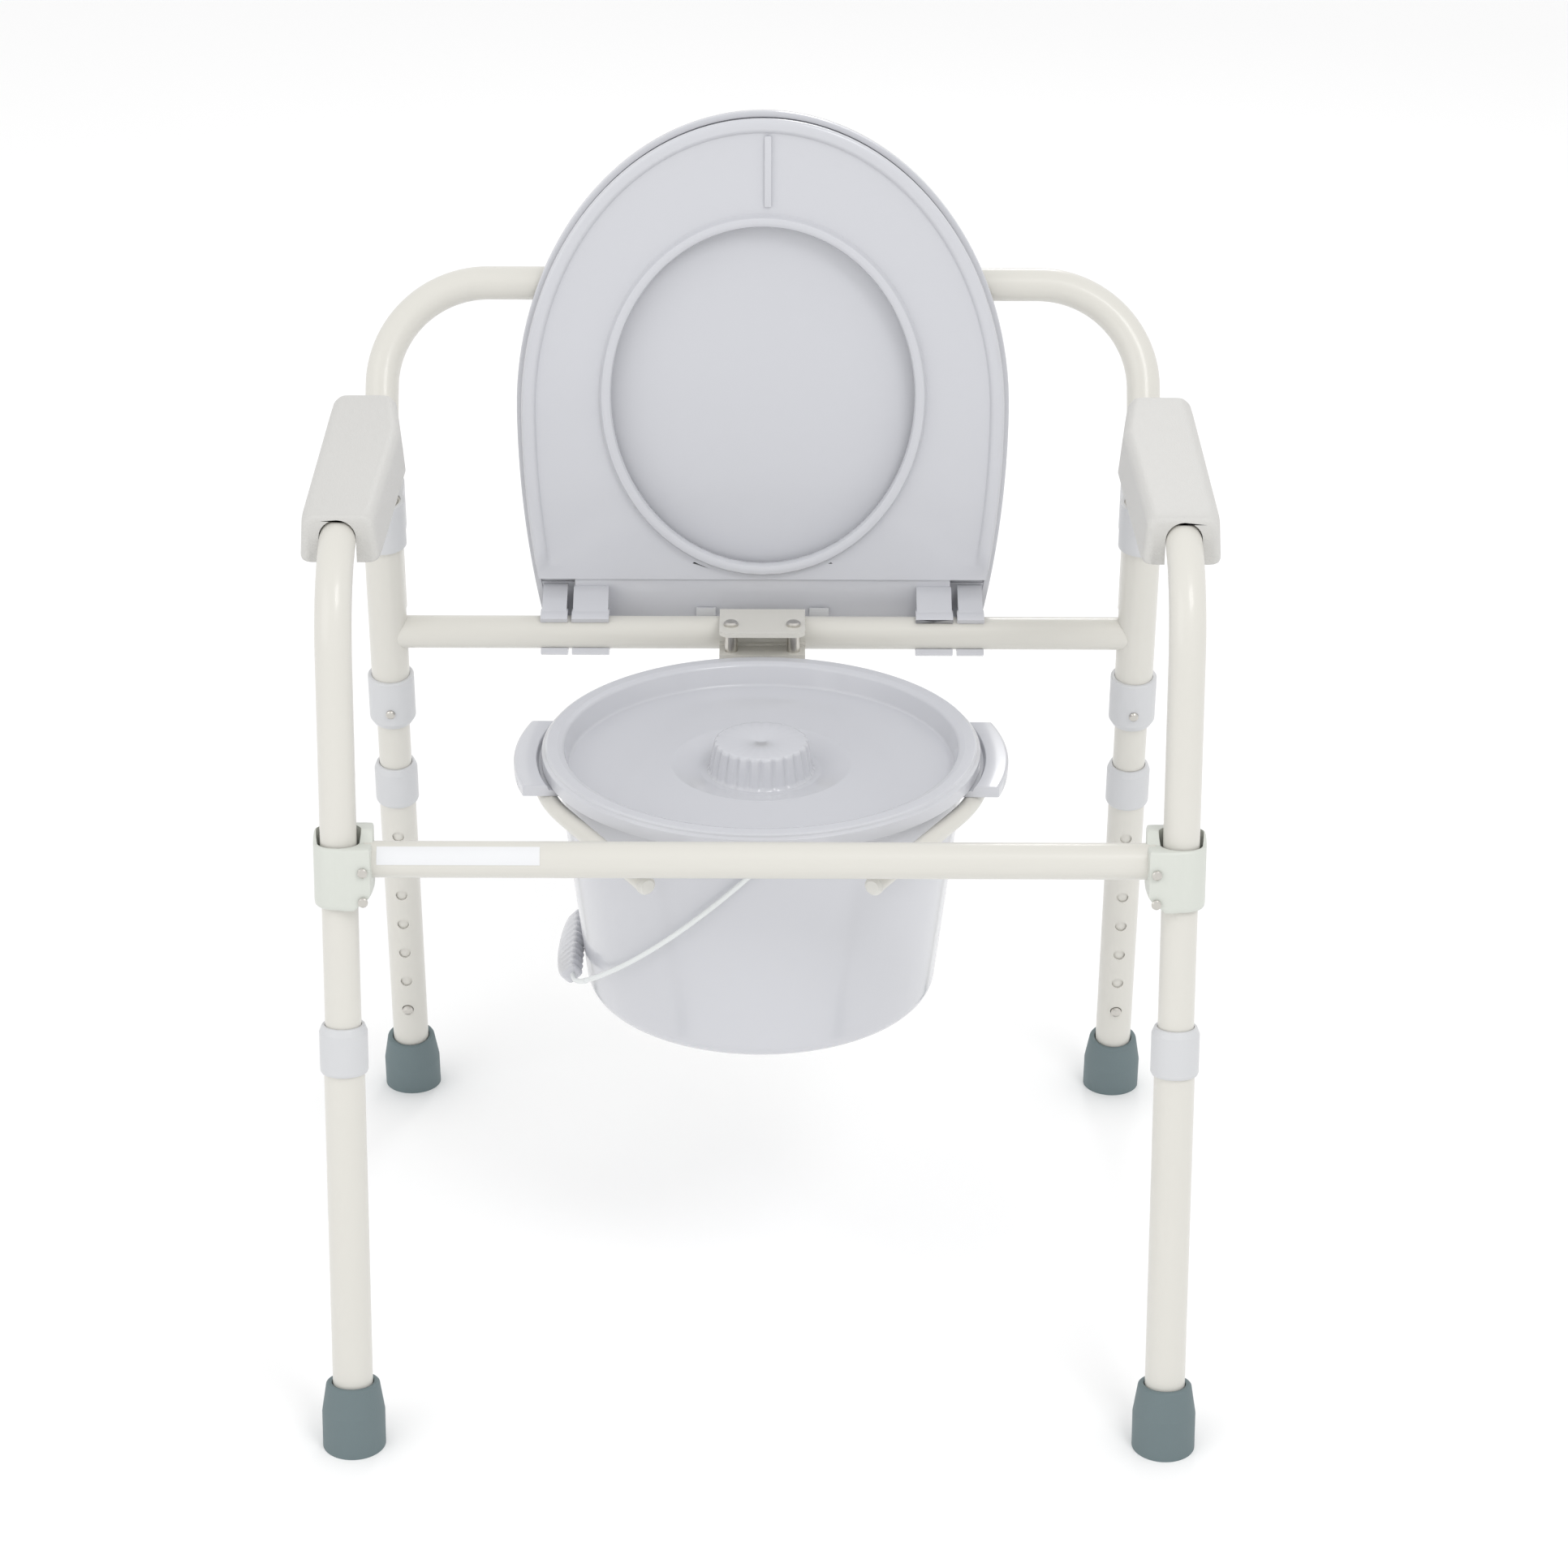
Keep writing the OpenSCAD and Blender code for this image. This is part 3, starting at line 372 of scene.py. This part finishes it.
def bucket():
    foot_r, rim_r, lip_r, wall = 128.5 * MM, 150 * MM, 156 * MM, 2.4 * MM
    low, top = BUCKET_LOW, BUCKET_HIGH
    profile = rounded([
        (0, low + 2 * MM), (foot_r - 30 * MM, low + 2 * MM), (foot_r - 27 * MM, low), (foot_r, low),
        (rim_r - 3 * MM, top - 30 * MM), (rim_r - 1 * MM, top - 2.5 * MM), (lip_r - 2.2 * MM, top - 2.5 * MM),
        (lip_r - 2.2 * MM, top - 7.5 * MM), (lip_r, top - 7.5 * MM), (lip_r, top), (rim_r - wall, top),
        (foot_r - wall, low + wall * 2), (0, low + wall * 2)],
        [0, MM, MM, 24 * MM, 20 * MM, MM, 0.3 * MM, 0.6 * MM, 0.6 * MM, 0.8 * MM, 0.8 * MM, 20 * MM, 0],
        closed=False, steps=8)
    bm = bmesh.new()
    lathe(bm, profile, ON_BUCKET, steps=128)
    ear_low, ear_top = RING_Z + RING_TUBE_R + 0.1 * MM, BUCKET_HIGH - 1.6 * MM
    ear_out = size_of("bucket").x / 2
    ear = rounded([(148 * MM, ear_low), (ear_out, ear_low), (ear_out, ear_top), (164.5 * MM, ear_top),
                   (163 * MM, ear_low + 4.5 * MM), (148 * MM, ear_low + 4.5 * MM)],
                  [0, 0.8 * MM, 2.2 * MM, 1 * MM, 1 * MM, 0], steps=4)
    for turn in (0, pi):
        sector(bm, ear, 57 * MM, ON_BUCKET @ Matrix.Rotation(turn, 4, "Z"))
    boss_root, boss_face, boss_r, wire_hole_r = 144 * MM, 149.5 * MM, 8 * MM, 2.2 * MM
    boss = rounded([(0, boss_root), (boss_r, boss_root), (boss_r, boss_face), (wire_hole_r, boss_face),
                    (wire_hole_r, 147 * MM), (0, 147 * MM)], [0, 0, 1 * MM, 0, 0, 0], closed=False)
    for turn in (0, pi):
        pivot = Matrix.Translation((0, BUCKET.y, 405 * MM)) @ Matrix.Rotation(turn, 4, "Z")
        lathe(bm, boss, pivot @ Matrix.Rotation(pi / 2, 4, "X"), steps=32)
    finish_piece(bm, "bucket_shell", "bucket", ["bucket"])


def bucket_lid():
    knob_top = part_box("bucket_lid")[1].z
    top, deck = BUCKET_HIGH, BUCKET_HIGH - 9 * MM
    bowl, rim = BUCKET_HIGH - 14.8 * MM, BUCKET_HIGH + 8 * MM
    thin = 2.2 * MM
    skirt_low, under = top - 5 * MM, top + 0.4 * MM
    # from the middle of the bowl out over the rim, and back under: radius, height, rounding in mm
    corners = [(0, bowl, 0), (44, bowl, 9), (66, deck, 9), (141, deck, 2.5), (144.5, rim - 1.5 * MM, 3),
               (149, rim, 2), (156.5, rim, 0.8), (158, rim - 0.8 * MM, 0.5), (158.4, rim - 2.2 * MM, 0.4),
               (LID_R / MM, rim - 3.6 * MM, 1.2), (LID_R / MM, skirt_low, 0.5), (156.8, skirt_low, 0.5),
               (156.8, under, 0.3), (147, under, 0.3), (144.6, deck - thin, 2), (66, deck - thin, 8),
               (44, bowl - thin, 8), (0, bowl - thin, 0)]
    profile = rounded([(r * MM, z) for r, z, _ in corners], [e * MM for _, _, e in corners],
                      closed=False, steps=5)
    bm = bmesh.new()
    lathe(bm, profile, ON_BUCKET, steps=160)
    knob_foot_r, knob_r, flutes, per = 38.6 * MM, 34.4 * MM, 24, 8
    rings = []
    # up the fluted side and over the top: height, radius, depth of the flutes
    levels = [(bowl - 0.5 * MM, knob_foot_r + 1.5 * MM, 0), (bowl + 1 * MM, knob_foot_r, 0.6 * MM),
              (bowl + 3 * MM, knob_foot_r - 0.5 * MM, 1.5 * MM),
              (knob_top - 3 * MM, knob_r + 0.5 * MM, 1.5 * MM),
              (knob_top - 1.2 * MM, knob_r - 0.2 * MM, 1.1 * MM),
              (knob_top - 0.3 * MM, knob_r - 1.2 * MM, 0.5 * MM), (knob_top, knob_r - 2.6 * MM, 0),
              (knob_top - 0.1 * MM, 4 * MM, 0), (knob_top - 0.7 * MM, 3 * MM, 0)]
    for height, radius, depth in levels:
        ring = []
        for k in range(flutes * per):
            angle = 2 * pi * k / (flutes * per)
            wave = max(0.0, cos(flutes * angle)) ** 1.5
            r = radius - depth * wave
            ring.append((r * cos(angle), BUCKET.y + r * sin(angle), height))
        rings.append(ring)
    loft(bm, rings)
    finish_piece(bm, "bucket_lid_shell", "bucket_lid", ["bucket_lid"], sharp=40)


bucket()
bucket_lid()


# ---- seat and lid, drawn lowered: x across, y = minus the reach, z up ----

WIDEST_Y = -170 * MM
TAPER = 391 * MM
OPENING_Y = -183 * MM
OPENING = (116 * MM, 133 * MM)


def egg(half_width, reach, rear_y, inset=0.0):
    """A rounded egg, round at the front and cut straight at rear_y."""
    half_width, reach, rear_y = half_width - inset, reach - inset, rear_y - inset
    last = pi / 2 - atan2(((TAPER - inset) ** 2 - (rear_y - WIDEST_Y) ** 2) ** 0.5, rear_y - WIDEST_Y)
    points = []
    for k in range(73):
        angle = pi + pi * k / 72
        points.append(Vector((half_width * cos(angle), WIDEST_Y + (reach + WIDEST_Y) * sin(angle))))
    side = []
    for k in range(1, 21):
        angle = last * k / 20
        side.append(Vector((half_width * cos(angle), WIDEST_Y + (TAPER - inset) * sin(angle))))
    rear_x = side[-1].x
    straight = [Vector((rear_x * (1 - k / 12), side[-1].y)) for k in range(1, 24)]
    return points + side + straight + [Vector((-p.x, p.y)) for p in side[::-1]]


def opening_ring(outer, grow):
    ring = []
    for p in outer:
        angle = atan2((p.y - OPENING_Y) / OPENING[1], p.x / OPENING[0])
        ring.append(Vector(((OPENING[0] + grow) * cos(angle), OPENING_Y + (OPENING[1] + grow) * sin(angle))))
    return ring


def lifted(ring, height, place=RAISED):
    return [place @ Vector((p.x, p.y, height)) for p in ring]


def clip(bm, x, width, top):
    """A C-shaped clip round the crossbar, and the sloping block that joins it to the plate above."""
    inner, outer, wrap = TUBE_R + 0.35 * MM, 18 * MM, radians(256)
    half = width / 2
    section = rounded([(inner, -half), (outer, -half), (outer, half), (inner, half)], 0.8 * MM)
    # the spin starts beside the mouth, which looks down when the seat is lowered
    begin = Matrix.Rotation(-wrap / 2, 4, "Z")
    up = Matrix(((0, 0, 1, 0), (0, 1, 0, 0), (-1, 0, 0, 0), (0, 0, 0, 1)))
    place = RAISED @ Matrix.Translation((x, 0, 0)) @ up @ Matrix.Rotation(pi, 4, "Z") @ begin
    lathe(bm, section, place, steps=48, closed=True, angle=wrap)
    outline = [(inner + 0.7 * MM) * Vector((cos(radians(a)), sin(radians(a)))) for a in range(100, 206, 15)]
    outline += [Vector(p) * MM for p in ((-16.3, -7.6), (-17.6, -3.5), (-31, 0), (-31, 0), (-2, 0))]
    outline[-3].y, outline[-2].y, outline[-1].y = top - 5 * MM, top, top
    across = Matrix(((0, 0, 1, 0), (1, 0, 0, 0), (0, 1, 0, 0), (0, 0, 0, 1)))
    across = RAISED @ Matrix.Translation((x, 0, 0)) @ across
    loft(bm, [[across @ Vector((p.x, p.y, z)) for p in outline] for z in (MM - half, half - MM)])


def seat():
    half_w, reach, rear_y = 185 * MM, 398 * MM, -37 * MM
    whole = egg(half_w, reach, rear_y)
    # over the outer rim, then round the opening's rim: distance from the edge and height, in mm
    outer = [(10, 26), (4, 25.4), (0.8, 23), (0, 20), (0, 18), (0.4, 16.6), (1.5, 15.7), (4, 15.4),
             (7.5, 15.4), (9.3, 16), (10.3, 17.2), (11.2, 18.5), (13, 19)]
    inner = [(12, 19), (9.6, 18.9), (8.6, 17.8), (8, 15), (7.2, 13.7), (6, 13.3), (3, 13.3), (1, 14.2),
             (0, 16), (0, 22), (1.4, 24.6), (4, 25.6), (10, 26)]
    rings = []
    for inset, height in outer:
        ring = []
        for p, q in zip(whole, egg(half_w, reach, rear_y, inset * MM)):
            fade = min(1.0, max(0.0, (-p.y - 39 * MM) / (12 * MM)))
            level = height if height > 19 else 19 - (19 - height) * fade
            ring.append(RAISED @ Vector((q.x, q.y, level * MM)))
        rings.append(ring)
    for grow, height in inner:
        rings.append(lifted(opening_ring(whole, grow * MM), height * MM))
    bm = bmesh.new()
    loft(bm, rings + rings[:1], caps=False)
    tail_x, tail_front, tail_rear = 146 * MM, -45 * MM, -6 * MM
    tail = rounded([(-tail_x, tail_front), (tail_x, tail_front), (tail_x, tail_rear), (-tail_x, tail_rear)],
                   3 * MM)
    plate(bm, [(p.x, p.y) for p in tail], 21 * MM, 25 * MM, RAISED, edge=1.2 * MM)
    rib_left, rib_right, rib_front, rib_rear = 1 * MM, 6 * MM, -385 * MM, -331 * MM
    rib = rounded([(rib_left, rib_front), (rib_right, rib_front),
                   (rib_right, rib_rear), (rib_left, rib_rear)], 1 * MM)
    plate(bm, [(p.x, p.y) for p in rib], 16.5 * MM, 20 * MM, RAISED, edge=0.6 * MM)
    for side in (-1, 1):
        clip(bm, side * 133 * MM, 29 * MM, 21 * MM)
    finish_piece(bm, "seat_ring", "seat", ["seat"])


def lid():
    half_w, reach, rear_y = 189 * MM, 402 * MM, 8 * MM
    # from the inner face over the lip to the back: distance from the edge and height, in mm
    stations = [(9, 30.5), (6, 30.5), (5.2, 30.1), (5, 28.2), (4.5, 27.5), (1, 27.5), (0.2, 28), (0, 29),
                (0, 32), (0.6, 33.6), (2.2, 34.4), (5, 34.5)]
    rings = []
    for inset, height in stations:
        rear = rear_y if height > 30.6 or inset < 5 else rear_y - 40 * MM + 5 * MM
        rings.append(lifted(egg(half_w, reach, rear, inset * MM), height * MM))
    bm = bmesh.new()
    loft(bm, rings)
    for side in (-1, 1):
        clip(bm, side * 161 * MM, 21 * MM, 28.5 * MM)
    finish_piece(bm, "lid_shell", "lid", ["lid"])


seat()
lid()


# ---- armrests ----

def armrest(name, side):
    """A soft-edged pad over the arm tube, whose inner side swells past the middle."""
    low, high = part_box(name + "_armrest")
    outer_w, half_l = (high.x - low.x) / 2, (high.y - low.y) / 2
    channel = TUBE_R + 0.1 * MM
    front_inner, swell, rear_inner = 29 * MM, 33 * MM, 23 * MM
    swell_y = 45 * MM
    stations = [(-half_l + a * MM, b * MM, c * MM) for a, b, c in (
        (0, 5, 6), (0.5, 3, 3.8), (2, 1.5, 2), (5, 0.6, 1.1), (10, 0.2, 0.5), (18, 0, 0), (28, 0, 0))]
    stations += [(y * MM, 0, 0) for y in range(-75, 105, 15)]
    rear_end = ((14, 0.2), (9, 0.9), (5, 2.2), (2, 4.2), (0.6, 6.5), (0, 9))
    stations += [(half_l - a * MM, b * MM, b * MM) for a, b in rear_end]
    rings = []
    for y, inset, drop in stations:
        if y < swell_y:
            inner_w = front_inner + (swell - front_inner) * (y + half_l) / (swell_y + half_l)
        else:
            inner_w = swell + (rear_inner - swell) * (y - swell_y) / (half_l - swell_y)
        out_w, in_w, top = outer_w - inset, inner_w - inset, high.z - drop
        shoulder = 5 * MM
        outline = rounded(
            [(-channel, low.z), (-out_w, low.z), (-out_w + 2 * MM, top - shoulder), (-out_w + 7 * MM, top),
             (in_w - 8 * MM, top), (in_w - 3 * MM, top - shoulder), (in_w, low.z), (channel, low.z)],
            [1.5 * MM, 4 * MM, 8 * MM, 12 * MM, 12 * MM, 8 * MM, 4 * MM, 1.5 * MM], steps=5)
        turns = [radians(a) for a in range(0, 181, 15)]
        over = [Vector((channel * cos(a), ARM_Z + channel * sin(a))) for a in turns]
        rings.append([(side * (HALF_W - p.x), y, p.y) for p in outline + over])
    bm = bmesh.new()
    loft(bm, rings)
    finish_piece(bm, name + "_arm_pad", name + "_side", [name + "_armrest"], sharp=60)


for side_name, side_sign in SIDES_OF_CHAIR.items():
    armrest(side_name, side_sign)


# ---- crossbar brackets ----

def bracket(name, side):
    """A cuff round the leg that reaches over the crossbar's end and stands higher behind the leg."""
    reach, cuff_r, bore, half_depth = 24 * MM, 17.4 * MM, 14.7 * MM, 19 * MM
    low, top, back_top = -32 * MM, 12 * MM, 21 * MM
    place = leg_frame(side, -1)
    bm = bmesh.new()
    outer, inner = [], []
    for k in range(64):
        angle = 2 * pi * k / 64
        across, depth = cos(angle), sin(angle)
        inner.append(Vector((bore * across, bore * depth)))
        if across > 0:
            wide = cuff_r + (reach - cuff_r) * across ** 0.6 if abs(depth) < 0.72 else reach * across + 3 * MM
            outer.append(Vector((wide, half_depth * max(-1, min(1, depth * 1.35)))))
        else:
            outer.append(Vector((cuff_r * across, cuff_r * depth)))
    rings = []
    for t, grow in ((low + 0.2 * MM, -2.2), (low, -1.4), (low + 1.4 * MM, -0.3), (low + 4 * MM, 0),
                    (top - 2 * MM, 0), (top - 0.6 * MM, -0.5), (top, -1.5)):
        ring = []
        for p in outer:
            lift = (back_top - top) * max(0.0, min(1.0, (p.y + 2 * MM) / (6 * MM))) * (t > 0)
            cut = 10 * MM * max(0.0, (p.x - 12 * MM) / (reach - 12 * MM)) * (t < -20 * MM)
            moved = p - p.normalized() * -grow * MM
            ring.append(place @ Vector((-side * moved.x, moved.y, t + lift + cut)))
        rings.append(ring)
    hole = []
    for t in (top, low):
        ring = []
        for p, q in zip(inner, outer):
            lift = (back_top - top) * max(0.0, min(1.0, (q.y + 2 * MM) / (6 * MM))) * (t > 0)
            wider = 1 + 0.09 * lift / (back_top - top)
            ring.append(place @ Vector((-side * p.x * wider, p.y * wider, t + lift)))
        hole.append(ring)
    loft(bm, rings + hole + rings[:1], caps=False)
    finish_piece(bm, name + "_bar_bracket", "crossbar", [name + "_crossbar_bracket"], sharp=40)


for side_name, side_sign in SIDES_OF_CHAIR.items():
    bracket(side_name, side_sign)


# ---- bail grip ----

def grip():
    """A half-moon finger grip on the outer run of the bail wire, scalloped on the side of the bucket."""
    low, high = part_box("bail_grip")
    wire = (low + high) / 2
    half, wide, count = 48 * MM, 20 * MM, 48
    outward = Vector((-cos(radians(45.2)), 0, -sin(radians(45.2))))
    flat = outward.cross(ALONG)
    bm = bmesh.new()
    rings = []
    for k in range(count + 1):
        share = 2 * k / count - 1
        bulge = (1 - share * share) ** 0.5 if abs(share) < 1 else 0.0
        out_reach = 4 * MM + (wide - 9 * MM) * bulge
        in_reach = 5.4 * MM + 1.3 * MM * cos(2 * pi * share * half / (9 * MM))
        thick = 5.2 * MM if abs(share) < 0.97 else 3.6 * MM
        section = rounded([(-in_reach, -thick), (out_reach, -thick), (out_reach, thick), (-in_reach, thick)],
                          3 * MM, steps=3)
        rings.append([wire + ALONG * share * half + outward * p.x + flat * p.y for p in section])
    loft(bm, rings)
    finish_piece(bm, "bail_finger_grip", "bail", ["bail_grip"], sharp=50)


grip()


# ---- feet, ferrules and collars ----

FLOOR_T = -BAR_Z / cos(LEAN)


def foot(name, side, end):
    top = FLOOR_T + 48 * MM
    r = 22.5 * MM
    bore = LEG_R + 0.6 * MM
    profile = rounded([(0, FLOOR_T - 6 * MM), (r, FLOOR_T - 6 * MM), (r, FLOOR_T + 26 * MM),
                       (r - 3.4 * MM, top - 1 * MM), (r - 5 * MM, top),
                       (bore, top), (bore, top - 8 * MM), (0, top - 8 * MM)],
                      [0, 0, 1.5 * MM, 1.5 * MM, MM, 0.8 * MM, 0, 0], closed=False)
    bm = bmesh.new()
    place = leg_frame(side, end)
    lathe(bm, profile, place, steps=64)
    everything = bm.verts[:] + bm.edges[:] + bm.faces[:]
    bmesh.ops.bisect_plane(bm, geom=everything, plane_co=(0, 0, 0), plane_no=-UP, clear_outer=True)
    bmesh.ops.holes_fill(bm, edges=[e for e in bm.edges if len(e.link_faces) == 1], sides=0)
    finish_piece(bm, name + "_rubber_foot", name + "_lower_leg", [name + "_foot"], sharp=40)


def ferrule(name, side, end):
    high = -120 * MM
    low = high - 35 * MM
    outer, on_leg, on_tube = LEG_R + 2.6 * MM, LEG_R + 0.1 * MM, TUBE_R + 0.35 * MM
    profile = rounded([(on_leg, low), (outer - 0.8 * MM, low), (outer, low + 2 * MM), (outer, high - 5 * MM),
                       (LEG_R + 0.6 * MM, high), (on_tube, high), (on_tube, high - 4 * MM),
                       (on_leg, high - 4.5 * MM)],
                      [0, 0.6 * MM, 0.8 * MM, 2 * MM, 1 * MM, 0, 0, 0])
    bm = bmesh.new()
    lathe(bm, profile, leg_frame(side, end), steps=64, closed=True)
    finish_piece(bm, name + "_leg_ferrule", name + "_lower_leg", [name + "_ferrule"], sharp=40)


def collar(name, side):
    low, high, on_sleeve, on_tube = -81 * MM, -38 * MM, 15 * MM, TUBE_R + 0.35 * MM
    outer = 18 * MM
    profile = rounded([(on_tube, low), (on_sleeve, low), (outer, low + 5 * MM), (outer, high),
                       (on_sleeve, high), (on_sleeve, low + 7 * MM), (on_tube, low + 7 * MM)],
                      [0, 1 * MM, 2.5 * MM, 1.5 * MM, 0, 0, 0])
    bm = bmesh.new()
    lathe(bm, profile, leg_frame(side, 1), steps=64, closed=True)
    finish_piece(bm, name + "_collar", "back_frame", [name + "_sleeve_collar"], sharp=40)


for side_name, side_sign in SIDES_OF_CHAIR.items():
    collar(side_name, side_sign)
    for end_name, end_sign in ENDS_OF_CHAIR.items():
        foot(end_name + "_" + side_name, side_sign, end_sign)
        ferrule(end_name + "_" + side_name, side_sign, end_sign)


# ---- floor, light and camera ----

def studio():
    floor_mesh = bpy.data.meshes.new("floor")
    bm = bmesh.new()
    bmesh.ops.create_grid(bm, x_segments=1, y_segments=1, size=12)
    bm.to_mesh(floor_mesh)
    bm.free()
    floor = bpy.data.objects.new("floor", floor_mesh)
    floor_mesh.materials.append(surface("floor_white", (250, 250, 250), 0.7, mottling=0.0))
    bpy.context.scene.collection.objects.link(floor)
    for name, place, aim, size, power in (("key_light", (1.2, -1.9, 3.0), (0, 0.2, 0.6), 1.1, 22),
                                          ("fill_light", (-2.2, -1.8, 1.8), (0, 0, 0.5), 2.2, 12),
                                          ("back_light", (0.4, 2.6, 1.95), (0, 0, 0.4), 0.5, 7)):
        data = bpy.data.lights.new(name, "AREA")
        data.size, data.energy = size, power
        light = bpy.data.objects.new(name, data)
        light.location = place
        light.rotation_euler = (Vector(aim) - Vector(place)).to_track_quat("-Z", "Y").to_euler()
        bpy.context.scene.collection.objects.link(light)
    world = bpy.data.worlds.new("studio")
    world.use_nodes = True
    world.node_tree.nodes["Background"].inputs["Color"].default_value = (1, 1, 1, 1)
    world.node_tree.nodes["Background"].inputs["Strength"].default_value = 0.98
    bpy.context.scene.world = world
    bpy.context.scene.view_settings.view_transform = "Standard"


def camera():
    data = bpy.data.cameras.new("camera")
    data.lens, data.sensor_width = 96.9, 36
    data.clip_start, data.clip_end = 0.05, 50
    view = bpy.data.objects.new("camera", data)
    heading, pitch, roll = radians(-0.12), radians(90 - 24.89), radians(0.22)
    view.matrix_world = (Matrix.Translation((0.0109, -2.8167, 1.7041)) @ Matrix.Rotation(heading, 4, "Z")
                         @ Matrix.Rotation(pitch, 4, "X") @ Matrix.Rotation(roll, 4, "Z"))
    bpy.context.scene.collection.objects.link(view)
    bpy.context.scene.camera = view


studio()
camera()
